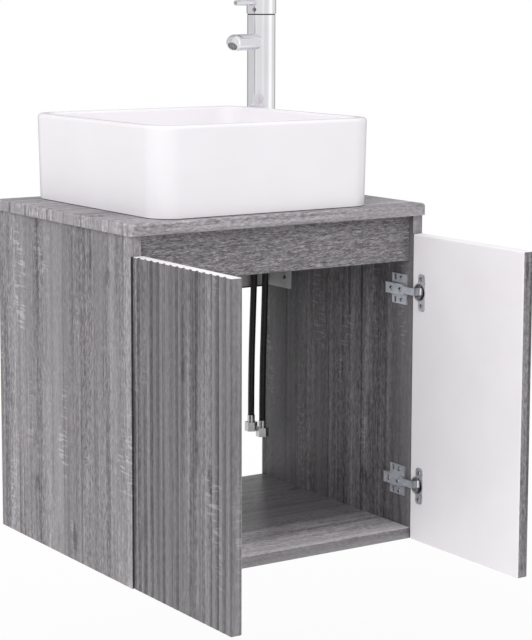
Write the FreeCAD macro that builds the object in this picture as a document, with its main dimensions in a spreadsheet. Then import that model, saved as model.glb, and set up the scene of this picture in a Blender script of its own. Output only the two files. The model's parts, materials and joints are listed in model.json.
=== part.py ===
import FreeCAD, Part
import math
import os
import re

# Wall-hung vanity unit: an open-backed carcass with two fluted doors on cup hinges,
# a vessel basin with its waste, and a tall mixer tap with two hanging hoses.
# +Z is up, +X right, the front faces -Y. The wall plane is y = 0, and the origin is
# midway between the two wall screw holes. Heights below count from the underside of
# the cabinet, and the placing helpers lower them by wall_hole_height.

doc = FreeCAD.newDocument("vanity_unit")
sheet = doc.addObject("Spreadsheet::Sheet", "dims")

# Driving dimensions in millimetres and degrees.
SIZES = {
    # Carcass boards
    "cabinet_width": 472,
    "panel_depth": 380,
    "panel_height": 464,
    "board": 16,
    "board_round": 0.8,
    "top_overhang": 4,
    "top_setback": 8,
    "top_front_overhang": 8,
    "top_corner": 12,
    "top_round": 4,
    "fascia_height": 65,
    "fascia_recess": 8.5,
    "rail_height": 145,
    # Dowels, cam locks and cam bolts
    "dowel_diameter": 8,
    "dowel_length": 30,
    "dowel_bite": 10,
    "dowel_inset": 60,
    "cam_diameter": 15,
    "cam_depth": 12,
    "cam_setback": 24,
    "cam_inset": 110,
    "cam_bolt_diameter": 6,
    # Wall fixing
    "wall_hole_drop": 102,
    "wall_hole_inset": 40,
    "wall_hole_diameter": 10,
    "bracket_sheet": 2,
    "bracket_leg": 64,
    "bracket_height": 80,
    "bracket_screw_inset": 15,
    "bracket_screw_head": 8,
    "bracket_screw_diameter": 4,
    "bracket_screw_length": 12,
    "bracket_pilot": 3.5,
    "bracket_pilot_rise": 8,
    # Doors
    "door_top_gap": 26,
    "door_reveal": 1,
    "door_meeting_gap": 3,
    "door_gap": 3.5,
    "door_round": 2,
    "flute_radius": 5,
    "flute_depth": 2,
    # Cup hinges
    "hinge_inset": 81,
    "pin_inset": 9,
    "pin_depth": 7.5,
    "pin_diameter": 2.5,
    "pin_clearance": 0.05,
    "pin_bearing": 4.2,
    "cup_diameter": 26,
    "cup_depth": 12,
    "cup_wall": 1,
    "cup_edge": 3,
    "cup_lip": 1.2,
    "cup_wing_width": 14.6,
    "cup_wing_length": 52,
    "cup_wing_offset": 4.9,
    "cup_wing_round": 5,
    "cup_screw_spacing": 38,
    "cup_screw_head": 6.4,
    "cup_screw_diameter": 3,
    "cup_screw_length": 10,
    "screw_head_height": 1.6,
    "arm_width": 13,
    "arm_sheet": 2.4,
    "arm_offset": 4.6,
    "arm_tail": 53,
    "arm_cheek": 1.2,
    "arm_side_play": 0.4,
    "toe_width": 10,
    "knuckle_diameter": 6,
    "plate_height": 43,
    "plate_depth": 33.6,
    "plate_sheet": 2,
    "plate_setback": 27.7,
    "plate_screw_spacing": 32,
    "plate_screw_shift": 4.5,
    "plate_slot_shift": 9,
    "plate_slot_width": 4.4,
    "plate_slot_length": 8,
    "rib_tail": 4,
    "plate_screw_diameter": 4,
    "plate_screw_length": 11,
    "adjuster_diameter": 4,
    "adjuster_head": 6.5,
    "adjuster_spacing": 20.5,
    "adjuster_shift": 2.6,
    # Basin
    "basin_side_margin": 50,
    "basin_rear_margin": 2,
    "basin_tap_gap": 30,
    "basin_depth": 364,
    "basin_height": 121,
    "basin_draft": 2,
    "basin_corner": 36,
    "basin_rim": 13,
    "basin_rim_round": 5,
    "basin_floor": 20,
    "bowl_draft": 20,
    "bowl_corner": 34,
    "bowl_floor_round": 24,
    "sealant_height": 1,
    "sealant_width": 8,
    # Basin waste
    "waste_flange_diameter": 64,
    "waste_flange_sheet": 3,
    "waste_seal_sheet": 1.5,
    "waste_tube_diameter": 42,
    "waste_tube_bore": 36,
    "waste_tube_length": 68,
    "waste_hole_clearance": 1,
    "top_hole_clearance": 3,
    "hub_diameter": 14,
    "hub_height": 12,
    "hub_drop": 21,
    "spider_sheet": 4,
    "plug_diameter": 58,
    "plug_sheet": 4,
    "plug_round": 1.5,
    "plug_gap": 0.3,
    "plug_stem_diameter": 8,
    "plug_stem_length": 46,
    "plug_clearance": 0.05,
    "backnut_height": 9,
    "backnut_corner_diameter": 66,
    "tail_diameter": 32,
    "tail_bore": 28,
    "tail_length": 80,
    "tail_collar_wall": 2.5,
    "tail_collar_grip": 14,
    "tail_collar_floor": 6,
    # Tap
    "tap_side_gap": 30,
    "tap_y": 40,
    "tap_turn": 208.5,
    "tap_diameter": 43,
    "tap_seam": 259,
    "tap_bore": 34,
    "tap_bore_height": 190,
    "tap_hole_diameter": 35,
    "gasket_diameter": 46,
    "gasket_sheet": 1.5,
    "insert_height": 14,
    "dome_radius": 26,
    "dome_gap": 0.4,
    "chamber_diameter": 33.2,
    "chamber_play": 0.1,
    "cartridge_height": 15.5,
    "cartridge_floor": 2,
    "cartridge_drop": 7.9,
    "rotor_diameter": 21,
    "rotor_height": 11.5,
    "rotor_clearance": 0.05,
    "rotor_floor": 1,
    "stem_diameter": 8,
    "stem_tail": 3.2,
    "stem_play": 0.3,
    "stem_grip": 15,
    "stem_slot_length": 16,
    "tilt_pin_diameter": 3,
    "tilt_pin_length": 17,
    "ring_height": 5,
    "ring_bore": 20.4,
    "head_diameter": 45,
    "seam_gap": 1.8,
    "head_height": 50,
    "head_round": 3,
    "lever_diameter": 8,
    "lever_rise": 18.3,
    "lever_reach": 81,
    "lever_root": 9,
    "lever_round": 1,
    "dot_diameter": 6.5,
    "dot_rise": 8,
    "dot_sheet": 1.6,
    "dot_proud": 0.2,
    "spout_diameter": 24,
    "spout_bore": 18,
    "spout_drop": 40,
    "spout_reach": 96.5,
    "spout_root": 14,
    "outlet_tilt": 130,
    "outlet_offset": 8,
    "aerator_diameter": 15,
    "aerator_depth": 7,
    "aerator_clearance": 0.05,
    "aerator_rim": 1,
    "aerator_recess": 1.5,
    "stud_diameter": 6,
    "stud_offset": 12,
    "stud_length": 66,
    "stud_grip": 12,
    "clamp_diameter": 46,
    "clamp_sheet": 3,
    "clamp_mouth": 33,
    "clamp_mouth_depth": 6.5,
    "stud_nut_corner_diameter": 11.5,
    "stud_nut_height": 6,
    # Hoses
    "hose_offset": 9.5,
    "hose_diameter": 10,
    "hose_stub_diameter": 9.6,
    "hose_stub_length": 12,
    "ferrule_diameter": 11.6,
    "ferrule_length": 22,
    "hose_nut_corner_diameter": 20,
    "hose_nut_height": 14,
    "hose_nut_bore": 15,
    "hose_nut_bore_depth": 9,
}

# Places and sizes that follow from the driving dimensions.
DERIVED = {
    "inner_x": "cabinet_width/2 - board",
    "inner_width": "cabinet_width - 2*board",
    "top_z": "panel_height + board",
    "top_width": "cabinet_width + 2*top_overhang",
    "top_depth": "panel_depth - top_setback + top_front_overhang",
    "wall_hole_height": "panel_height - wall_hole_drop",
    "wall_hole_spacing": "2*(inner_x - wall_hole_inset)",
    "fascia_y": "panel_depth - fascia_recess - board/2",
    "door_height": "panel_height - door_top_gap",
    "door_width": "(cabinet_width - 2*door_reveal - door_meeting_gap)/2",
    "axis_x": "cabinet_width/2 - door_reveal - pin_inset",
    "axis_y": "-(panel_depth + door_gap + pin_depth)",
    "door_face": "axis_x - pin_depth",
    "door_edge": "axis_y + pin_inset",
    "cup_y": "door_edge - cup_edge - cup_diameter/2",
    "cup_bore": "cup_diameter - 2*cup_wall",
    "wing_y": "cup_y - cup_wing_offset",
    "arm_face": "inner_x - arm_offset",
    "arm_back": "arm_face - arm_sheet",
    "plate_y": "-(panel_depth - plate_setback)",
    "rib_depth": "arm_offset - plate_sheet",
    "bracket_low": "wall_hole_height - bracket_height/2",
    "bracket_screw_y": "-(board + bracket_leg - bracket_screw_inset)",
    "tap_x": "inner_x - tap_side_gap",
    "basin_left": "basin_side_margin - top_width/2",
    "basin_right": "tap_x - basin_tap_gap",
    "basin_width": "basin_right - basin_left",
    "basin_x": "(basin_right + basin_left)/2",
    "basin_y": "top_setback + basin_rear_margin + basin_depth/2",
    "basin_z": "top_z + sealant_height",
    "rim_z": "basin_z + basin_height",
    "bowl_z": "basin_z + basin_floor",
    "flange_low": "bowl_z - waste_flange_sheet",
    "recess_z": "flange_low - waste_seal_sheet",
    "tube_low": "flange_low - waste_tube_length",
    "backnut_top": "panel_height - waste_seal_sheet",
    "centre_z": "tap_seam - sqrt(dome_radius^2 - tap_diameter^2/4)",
    "chamber_low": "centre_z - cartridge_drop",
    "cartridge_top": "chamber_low + cartridge_height",
    "rotor_low": "chamber_low + cartridge_floor + rotor_clearance",
    "dome_top": "centre_z + dome_radius",
    "spout_z": "tap_seam - spout_drop",
    "spout_end": "spout_reach - spout_diameter/2",
    "ferrule_low": "gasket_sheet - ferrule_length",
}

SIDES = {"left": -1, "right": 1}
LEVELS = {"lower": "hinge_inset", "upper": "door_height - hinge_inset"}
FLUTE_COUNT = 15
HEXAGON_SIDES = 6
SPIDER_ARM_COUNT = 3
# Overrun of a cutting shape beyond the face that it cuts, and the slack for matching places.
PAST = 2
SAME_PLACE = 1e-3

AXIS_TURN = {
    "X": FreeCAD.Rotation(FreeCAD.Vector(0, 1, 0), 90),
    "Y": FreeCAD.Rotation(FreeCAD.Vector(1, 0, 0), -90),
    "Z": FreeCAD.Rotation(),
}

for row, (alias, size) in enumerate(SIZES.items(), 1):
    sheet.set(f"A{row}", alias)
    sheet.set(f"B{row}", str(size))
    sheet.setAlias(f"B{row}", alias)
doc.recompute()

nodes = []


def expand(text):
    """Write an expression of size names out as one that reads the sheet's cells."""
    words = re.compile(r"[a-z][a-z_]*[a-z]")
    while any(word in DERIVED for word in words.findall(text)):
        text = words.sub(lambda m: f"({DERIVED[m[0]]})" if m[0] in DERIVED else m[0], text)
    return words.sub(lambda m: f"dims.{m[0]}" if m[0] in SIZES else m[0], text)


def value(text):
    return float(sheet.evalExpression(expand(text)))


def bind(item, **expressions):
    for name, text in expressions.items():
        item.setExpression(name, expand(str(text)))
    return item


def place(item, x, y, z, turn=FreeCAD.Rotation(), lift="- wall_hole_height"):
    item.Placement = FreeCAD.Placement(FreeCAD.Vector(), turn)
    for axis, text in zip("xyz", (x, y, f"{z} {lift}")):
        item.setExpression(f"Placement.Base.{axis}", expand(str(text)))
    return item


def box(size, centre, lift="- wall_hole_height"):
    item = doc.addObject("Part::Box", "block")
    bind(item, Length=size[0], Width=size[1], Height=size[2])
    low = [f"({c}) - ({length})/2" for c, length in zip(centre, size)]
    return place(item, *low, lift=lift)


def rod(axis, diameter, length, centre, lift="- wall_hole_height"):
    item = doc.addObject("Part::Cylinder", "round")
    bind(item, Radius=f"({diameter})/2", Height=length)
    low = list(centre)
    low["XYZ".index(axis)] = f"({low['XYZ'.index(axis)]}) - ({length})/2"
    return place(item, *low, turn=AXIS_TURN[axis], lift=lift)


def upright(diameter, low, high, x, y, lift="- wall_hole_height"):
    """A round bar or hole along Z between two heights."""
    return rod("Z", diameter, f"({high}) - ({low})", (x, y, f"(({high}) + ({low}))/2"), lift)


def hexagon(corner_diameter, low, high, x, y, lift="- wall_hole_height", turn=FreeCAD.Rotation()):
    item = doc.addObject("Part::Prism", "hexagon")
    item.Polygon = HEXAGON_SIDES
    bind(item, Circumradius=f"({corner_diameter})/2", Height=f"({high}) - ({low})")
    return place(item, x, y, low, turn=turn, lift=lift)


def ball(diameter, centre, lift="- wall_hole_height", turn=FreeCAD.Rotation()):
    item = doc.addObject("Part::Sphere", "ball")
    bind(item, Radius=f"({diameter})/2")
    return place(item, *centre, turn=turn, lift=lift)


def fuse(*parts):
    item = doc.addObject("Part::MultiFuse", "joined")
    item.Shapes = list(parts)
    item.Refine = True
    return item


def common(base, tool):
    item = doc.addObject("Part::Common", "shared")
    item.Base = base
    item.Tool = tool
    return item


def cut(base, *tools):
    for tool in tools:
        item = doc.addObject("Part::Cut", "cut")
        item.Base = base
        item.Tool = tool
        base = item
    return base


def group(parts):
    item = doc.addObject("Part::Compound", "group")
    item.Links = list(parts)
    return item


def rounded(base, radius, pick):
    """Round the edges of a shape that a test picks out."""
    doc.recompute()
    reach = value(radius)
    item = doc.addObject("Part::Fillet", "rounded")
    item.Base = base
    item.Edges = [(i, reach, reach) for i, edge in enumerate(base.Shape.Edges, 1) if pick(edge)]
    return item


def every_edge(edge):
    return True


def rising_edge(edge):
    start, end = edge.Vertexes[0].Point, edge.Vertexes[-1].Point
    return abs(end.z - start.z) > math.hypot(end.x - start.x, end.y - start.y)


def crossing_edge(edge):
    return edge.BoundBox.XLength > SAME_PLACE


def edge_at(height, lift="- wall_hole_height"):
    """A test for edges that lie wholly at one height."""
    level = value(f"{height} {lift}")
    return lambda edge: max(abs(edge.BoundBox.ZMin - level), abs(edge.BoundBox.ZMax - level)) < SAME_PLACE


def node(item, label):
    item.Label = label
    nodes.append(item)
    return item


def along(axis, point, shift):
    moved = list(point)
    moved["XYZ".index(axis)] = f"({moved['XYZ'.index(axis)]}) + ({shift})"
    return moved


def screw(axis, sense, seat, head, shank, length):
    """A pan-head screw whose head sits on the seat and whose shank runs in the given sense."""
    top = rod(axis, head, "screw_head_height", along(axis, seat, f"{-sense}*screw_head_height/2"))
    stem = rod(axis, shank, length, along(axis, seat, f"{sense}*{length}/2"))
    return fuse(top, stem)


def tapered(low_size, high_size, height, x, y, z):
    """A block with drafted sides, standing on its smaller or larger end."""
    item = doc.addObject("Part::Wedge", "tapered")
    (low_w, low_d), (high_w, high_d) = low_size, high_size
    bind(item, Ymin="0", Ymax=height)
    bind(item, Xmin=f"-({low_w})/2", Xmax=f"({low_w})/2", Zmin=f"-({low_d})/2", Zmax=f"({low_d})/2")
    bind(item, X2min=f"-({high_w})/2", X2max=f"({high_w})/2", Z2min=f"-({high_d})/2", Z2max=f"({high_d})/2")
    return place(item, x, y, z, turn=FreeCAD.Rotation(FreeCAD.Vector(1, 0, 0), 90))


# Fasteners of the carcass

def dowel_bars():
    bars = []
    near_side = "inner_x - dowel_length/2 + dowel_bite"
    for sense in SIDES.values():
        across = [("-dowel_inset", "board/2"), ("dowel_inset - panel_depth", "board/2")]
        across += [("-board/2", "panel_height - rail_height + board"), ("-board/2", "panel_height - board")]
        across += [("-fascia_y", "panel_height - board")]
        for y, z in across:
            bars.append(rod("X", "dowel_diameter", "dowel_length", (f"{sense}*({near_side})", y, z)))
        for y in ("-dowel_inset", "dowel_inset - panel_depth"):
            centre = (f"{sense}*(inner_x + board/2)", y, "panel_height - dowel_length/2 + dowel_bite")
            bars.append(rod("Z", "dowel_diameter", "dowel_length", centre))
    return bars


def cam_places():
    """Centre line of each cam: the axis it is pressed in along, and its y and z."""
    return [
        ("Z", "-cam_inset", "board/2"),
        ("Z", "cam_inset - panel_depth", "board/2"),
        ("Y", "-board/2", "panel_height - rail_height/2"),
        ("Y", "-fascia_y", "panel_height - fascia_height + board"),
    ]


def cam_bolt_bars():
    length = "cam_setback + dowel_bite"
    bars = []
    for sense in SIDES.values():
        for _, y, z in cam_places():
            centre = f"{sense}*(inner_x + dowel_bite - ({length})/2)"
            bars.append(rod("X", "cam_bolt_diameter", length, (centre, y, z)))
    return bars


def cam_discs():
    discs = []
    inset = "(board - cam_depth)/2"
    for sense in SIDES.values():
        x = f"{sense}*(inner_x - cam_setback)"
        for axis, y, z in cam_places():
            if axis == "Z":
                discs.append(rod("Z", "cam_diameter", "cam_depth", (x, y, f"{z} - {inset}")))
            else:
                discs.append(rod("Y", "cam_diameter", "cam_depth", (x, f"{y} + {inset}", z)))
    return discs


def bracket_screw_set():
    screws = []
    for sense in SIDES.values():
        for z in ("bracket_low + bracket_screw_inset", "bracket_low + bracket_height - bracket_screw_inset"):
            seat = (f"{sense}*(inner_x - bracket_sheet)", "bracket_screw_y", z)
            screws.append(screw("X", sense, seat, "bracket_screw_head", "bracket_screw_diameter",
                                "bracket_screw_length"))
    return screws


def wall_holes():
    holes = []
    for sense in SIDES.values():
        centre = (f"{sense}*wall_hole_spacing/2", "-board/2", "wall_hole_height")
        holes.append(rod("Y", "wall_hole_diameter", "2*board", centre))
    return group(holes)


# Cup hinges, drawn with the doors open at a right angle

def hinge_pin(sense, level):
    length = "toe_width + 2*arm_side_play + 2*pin_bearing"
    return rod("Z", "pin_diameter", length, (f"{sense}*axis_x", "axis_y", level))


def cup_shell(sense, level):
    middle = f"{sense}*(door_face + (cup_depth - cup_lip)/2)"
    return rod("X", "cup_diameter", "cup_depth + cup_lip", (middle, "cup_y", level))


def hinge_cup(sense, level, pin, screws):
    wings = box(("cup_lip", "cup_wing_width", "cup_wing_length"),
                (f"{sense}*(door_face - cup_lip/2)", "wing_y", level))
    wings = rounded(wings, "cup_wing_round", crossing_edge)
    hollow_depth = f"cup_depth - cup_wall + cup_lip + {PAST}"
    hollow_x = f"{sense}*(door_face + cup_depth - cup_wall - ({hollow_depth})/2)"
    hollow = rod("X", "cup_bore", hollow_depth, (hollow_x, "cup_y", level))
    shell = cut(fuse(cup_shell(sense, level), wings), hollow)
    lug_depth = "cup_depth - pin_depth + knuckle_diameter/2"
    lug_x = f"{sense}*(door_face + cup_depth - ({lug_depth})/2)"
    lugs = []
    for way in (-1, 1):
        lug_z = f"{level} + {way}*(toe_width/2 + arm_side_play + pin_bearing/2)"
        lugs.append(box((lug_depth, "knuckle_diameter", "pin_bearing"), (lug_x, "axis_y", lug_z)))
    lug_pair = common(group(lugs), cup_shell(sense, level))
    return cut(fuse(shell, lug_pair), pin, group(screws))


def hinge_arm(sense, level, adjusters):
    tail_y = "-(panel_depth - arm_tail)"
    step_y = "plate_y - plate_depth/2"
    toe_y = "axis_y - arm_sheet/2"
    middle_x = f"{sense}*(arm_back + arm_sheet/2)"
    web = box(("arm_sheet", f"({tail_y}) - ({step_y})", "arm_width"),
              (middle_x, f"(({tail_y}) + ({step_y}))/2", level))
    neck = box(("arm_sheet", f"({step_y}) - ({toe_y})", "toe_width"),
               (middle_x, f"(({step_y}) + ({toe_y}))/2", level))
    toe = box(("axis_x - arm_back", "arm_sheet", "toe_width"),
              (f"{sense}*(axis_x + arm_back)/2", "axis_y", level))
    knuckle = rod("Z", "knuckle_diameter", "toe_width", (f"{sense}*axis_x", "axis_y", level))
    cheeks = []
    cheek_depth = "arm_sheet + rib_depth - arm_side_play"
    for way in (-1, 1):
        cheek_z = f"{level} + {way}*(arm_width + arm_cheek)/2"
        cheeks.append(box((cheek_depth, "arm_tail - board", "arm_cheek"),
                          (f"{sense}*(arm_back + ({cheek_depth})/2)", f"({tail_y}) - (arm_tail - board)/2",
                           cheek_z)))
    hole = rod("Z", "pin_diameter + 2*pin_clearance", f"toe_width + {PAST}",
               (f"{sense}*axis_x", "axis_y", level))
    return cut(fuse(web, neck, toe, knuckle, *cheeks), hole, group(adjusters))


def hinge_plate(sense, level, adjusters, screws):
    base = box(("plate_sheet", "plate_depth", "plate_height"),
               (f"{sense}*(inner_x - plate_sheet/2)", "plate_y", level))
    rib = box(("rib_depth", "plate_depth + rib_tail", "arm_width - 2*arm_side_play"),
              (f"{sense}*(arm_face + rib_depth/2)", "plate_y + rib_tail/2", level))
    slots = []
    for way in (-1, 1):
        slots.append(box((f"plate_sheet + {PAST}", "plate_slot_width", "plate_slot_length"),
                         (f"{sense}*(inner_x - plate_sheet/2)", "plate_y + plate_slot_shift",
                          f"{level} + {way}*plate_screw_spacing/2")))
    return cut(fuse(base, rib), group(slots), group(adjusters), group(screws))


def adjusting_screws(sense, level):
    screws = []
    for way in (-1, 1):
        seat = (f"{sense}*arm_back", f"plate_y + adjuster_shift + {way}*adjuster_spacing/2", level)
        screws.append(screw("X", sense, seat, "adjuster_head", "adjuster_diameter",
                            "(arm_sheet + rib_depth)"))
    return screws


def plate_screws(sense, level):
    screws = []
    for way in (-1, 1):
        seat = (f"{sense}*(inner_x - plate_sheet)", "plate_y - plate_screw_shift",
                f"{level} + {way}*plate_screw_spacing/2")
        screws.append(screw("X", sense, seat, "cup_screw_head", "plate_screw_diameter", "plate_screw_length"))
    return screws


def cup_screws(sense, level):
    screws = []
    for way in (-1, 1):
        seat = (f"{sense}*(door_face - cup_lip)", "wing_y", f"{level} + {way}*cup_screw_spacing/2")
        screws.append(screw("X", sense, seat, "cup_screw_head", "cup_screw_diameter", "cup_screw_length"))
    return screws


def door(sense, screws):
    slab = box(("board", "door_width", "door_height"),
               (f"{sense}*(door_face + board/2)", "door_edge - door_width/2", "door_height/2"))
    flutes = []
    for i in range(1, FLUTE_COUNT):
        flutes.append(upright("2*flute_radius", f"-{PAST}", f"door_height + {PAST}",
                              f"{sense}*(door_face + board + flute_radius - flute_depth)",
                              f"door_edge - {i}*door_width/{FLUTE_COUNT}"))
    pockets = [cup_shell(sense, level) for level in LEVELS.values()]
    return cut(rounded(slab, "door_round", every_edge), group(flutes), group(pockets), group(screws))


def make_doors():
    all_plate_screws = {}
    all_adjusters = []
    for side, sense in SIDES.items():
        side_cup_screws = []
        side_pins = []
        all_plate_screws[side] = []
        for level_name, level in LEVELS.items():
            name = f"{side}_{level_name}"
            pin = hinge_pin(sense, level)
            into_door = cup_screws(sense, level)
            into_panel = plate_screws(sense, level)
            adjusters = adjusting_screws(sense, level)
            node(hinge_cup(sense, level, pin, into_door), f"hinge_cup_{name}")
            node(hinge_arm(sense, level, adjusters), f"hinge_arm_{name}")
            node(hinge_plate(sense, level, adjusters, into_panel), f"hinge_plate_{name}")
            side_pins.append(pin)
            side_cup_screws += into_door
            all_plate_screws[side] += into_panel
            all_adjusters += adjusters
        node(door(sense, side_cup_screws), f"door_{side}")
        node(group(side_cup_screws), f"hinge_cup_screws_{side}")
        node(group(side_pins), f"hinge_pins_{side}")
    node(group(all_plate_screws["left"] + all_plate_screws["right"]), "hinge_plate_screws")
    node(group(all_adjusters), "hinge_adjusting_screws")
    return all_plate_screws


# Carcass boards and wall brackets

def board_between(size, centre):
    return rounded(box(size, centre), "board_round", every_edge)


def make_countertop(dowels):
    slab = box(("top_width", "top_depth", "board"),
               ("0", "-(top_setback + top_depth/2)", "panel_height + board/2"))
    front = value("-(top_setback + top_depth)")
    at_front = lambda e: rising_edge(e) and abs(e.BoundBox.YMin - front) < SAME_PLACE
    cornered = rounded(slab, "top_corner", at_front)
    rear = value("-top_setback")
    at_top = edge_at("top_z")
    softened = rounded(cornered, "top_round", lambda e: at_top(e) and e.BoundBox.YMin < rear - SAME_PLACE)
    waste_hole = upright("waste_tube_diameter + 2*top_hole_clearance", f"panel_height - {PAST}",
                         f"top_z + {PAST}", "basin_x", "-basin_y")
    tap_hole = upright("tap_hole_diameter", f"panel_height - {PAST}", f"top_z + {PAST}", "tap_x", "-tap_y")
    node(cut(softened, dowels, waste_hole, tap_hole), "countertop")


def make_wall_bracket(side, sense, screws, holes):
    leg_y = "-(board + bracket_leg/2)"
    side_leg = box(("bracket_sheet", "bracket_leg", "bracket_height"),
                   (f"{sense}*(inner_x - bracket_sheet/2)", leg_y, "wall_hole_height"))
    rear_leg = box(("bracket_leg", "bracket_sheet", "bracket_height"),
                   (f"{sense}*(inner_x - bracket_leg/2)", "-(board + bracket_sheet/2)", "wall_hole_height"))
    pilot_z = "bracket_low + bracket_screw_inset + bracket_pilot_rise"
    pilot = rod("X", "bracket_pilot", "board", (f"{sense}*inner_x", "bracket_screw_y", pilot_z))
    node(cut(fuse(side_leg, rear_leg), screws, holes, pilot), f"wall_bracket_{side}")


def make_carcass(panel_screws):
    dowels = node(group(dowel_bars()), "dowels")
    cam_bolts = node(group(cam_bolt_bars()), "cam_bolts")
    cams = group(cam_discs())
    node(cut(cams, cam_bolts), "cam_locks")
    bracket_screws = node(group(bracket_screw_set()), "bracket_screws")
    holes = wall_holes()
    for side, sense in SIDES.items():
        panel = board_between(("board", "panel_depth", "panel_height"),
                              (f"{sense}*(inner_x + board/2)", "-panel_depth/2", "panel_height/2"))
        fittings = (dowels, cam_bolts, bracket_screws, group(panel_screws[side]))
        node(cut(panel, *fittings), f"side_panel_{side}")
        make_wall_bracket(side, sense, bracket_screws, holes)
    bottom = board_between(("inner_width", "panel_depth", "board"), ("0", "-panel_depth/2", "board/2"))
    node(cut(bottom, dowels, cams, cam_bolts), "bottom_panel")
    rail = board_between(("inner_width", "board", "rail_height"),
                         ("0", "-board/2", "panel_height - rail_height/2"))
    node(cut(rail, dowels, cams, cam_bolts, holes), "rear_rail")
    fascia = board_between(("inner_width", "board", "fascia_height"),
                           ("0", "-fascia_y", "panel_height - fascia_height/2"))
    node(cut(fascia, dowels, cams, cam_bolts), "front_fascia")
    make_countertop(dowels)


# Basin and its waste

def make_basin():
    outer = tapered(("basin_width - 2*basin_draft", "basin_depth - 2*basin_draft"),
                    ("basin_width", "basin_depth"), "basin_height", "basin_x", "-basin_y", "basin_z")
    outer = rounded(outer, "basin_corner", rising_edge)
    mouth = ("basin_width - 2*basin_rim", "basin_depth - 2*basin_rim")
    floor = tuple(f"{size} - 2*bowl_draft" for size in mouth)
    bowl = tapered(floor, mouth, "basin_height - basin_floor", "basin_x", "-basin_y", "bowl_z")
    bowl = rounded(bowl, "bowl_corner", rising_edge)
    bowl = rounded(bowl, "bowl_floor_round", edge_at("bowl_z"))
    shell = rounded(cut(outer, bowl), "basin_rim_round", edge_at("rim_z"))
    recess = upright("waste_flange_diameter", "recess_z", f"bowl_z + {PAST}", "basin_x", "-basin_y")
    hole = upright("waste_tube_diameter + 2*waste_hole_clearance", f"basin_z - {PAST}", f"bowl_z + {PAST}",
                   "basin_x", "-basin_y")
    node(cut(shell, recess, hole), "basin")

    foot = [f"basin_{way} - 2*basin_draft - 2*sealant_height" for way in ("width", "depth")]
    level = "top_z + sealant_height/2"
    bead = box((foot[0], foot[1], "sealant_height"), ("basin_x", "-basin_y", level))
    inside = box((f"{foot[0]} - 2*sealant_width", f"{foot[1]} - 2*sealant_width", "sealant_height"),
                 ("basin_x", "-basin_y", level))
    bead = rounded(bead, "basin_corner - sealant_height", rising_edge)
    inside = rounded(inside, "basin_corner - sealant_height - sealant_width", rising_edge)
    node(cut(bead, inside), "basin_sealant")


def spider_arm(angle, level):
    """A bar across the waste tube, turned about the tube's axis."""
    item = doc.addObject("Part::Box", "arm")
    bind(item, Length="waste_tube_diameter", Width="spider_sheet", Height="spider_sheet")
    half_x = f"(waste_tube_diameter/2*cos({angle} deg) - spider_sheet/2*sin({angle} deg))"
    half_y = f"(waste_tube_diameter/2*sin({angle} deg) + spider_sheet/2*cos({angle} deg))"
    turn = FreeCAD.Rotation(FreeCAD.Vector(0, 0, 1), angle)
    return place(item, f"basin_x - {half_x}", f"-basin_y - {half_y}", f"{level} - spider_sheet/2", turn=turn)


def make_waste():
    here = ("basin_x", "-basin_y")
    flange = upright("waste_flange_diameter", "flange_low", "bowl_z", *here)
    tube = upright("waste_tube_diameter", "tube_low", "bowl_z", *here)
    bore = upright("waste_tube_bore", f"tube_low - {PAST}", f"bowl_z + {PAST}", *here)
    hub_top = "bowl_z - hub_drop"
    hub = upright("hub_diameter", f"{hub_top} - hub_height", hub_top, *here)
    arms = []
    for i in range(SPIDER_ARM_COUNT):
        arms.append(spider_arm(180 * i / SPIDER_ARM_COUNT, f"{hub_top} - hub_height/2"))
    inside = upright("(waste_tube_bore + waste_tube_diameter)/2", "tube_low", "bowl_z", *here)
    spider = common(fuse(hub, *arms), inside)
    guide = upright("plug_stem_diameter + 2*plug_clearance", "tube_low", "bowl_z", *here)
    node(cut(fuse(cut(fuse(flange, tube), bore), spider), guide), "waste_body")

    plug_low = "bowl_z + plug_gap"
    plug_top = f"{plug_low} + plug_sheet"
    disc = upright("plug_diameter", plug_low, plug_top, *here)
    disc = rounded(disc, "plug_round", edge_at(plug_top))
    stem = upright("plug_stem_diameter", f"{plug_low} - plug_stem_length", plug_low, *here)
    node(fuse(disc, stem), "waste_plug")

    upper = cut(upright("waste_flange_diameter", "recess_z", "flange_low", *here),
                upright("waste_tube_diameter + 2*waste_hole_clearance", "recess_z", "flange_low", *here))
    lower = cut(upright("waste_flange_diameter", "backnut_top", "panel_height", *here),
                upright("waste_tube_diameter", "backnut_top", "panel_height", *here))
    node(group([upper, lower]), "waste_seals")

    nut = hexagon("backnut_corner_diameter", "backnut_top - backnut_height", "backnut_top", *here)
    node(cut(nut, upright("waste_tube_diameter", "tube_low", "bowl_z", *here)), "waste_backnut")

    collar_low = "tube_low - tail_collar_floor"
    collar_top = "tube_low + tail_collar_grip"
    collar = upright("waste_tube_diameter + 2*tail_collar_wall", collar_low, collar_top, *here)
    pipe = upright("tail_diameter", f"{collar_low} - tail_length", collar_low, *here)
    socket = upright("waste_tube_diameter", "tube_low", f"{collar_top} + {PAST}", *here)
    bore = upright("tail_bore", f"{collar_low} - tail_length - {PAST}", f"tube_low + {PAST}", *here)
    node(cut(fuse(collar, pipe), socket, bore), "waste_tailpiece")


# Tap, drawn in its own frame: the countertop is z = 0 and the spout points along +X

TAP = ""
CENTRE = ("0", "0")


def tap_node(item, label):
    """Stand a finished tap piece on the countertop and turn the spout to the basin."""
    item.Placement = FreeCAD.Placement(FreeCAD.Vector(), FreeCAD.Rotation(FreeCAD.Vector(0, 0, 1), 1))
    for axis, text in zip("xyz", ("tap_x", "-tap_y", "top_z - wall_hole_height")):
        item.setExpression(f"Placement.Base.{axis}", expand(text))
    item.setExpression("Placement.Rotation.Angle", expand("tap_turn"))
    return node(item, label)


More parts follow.
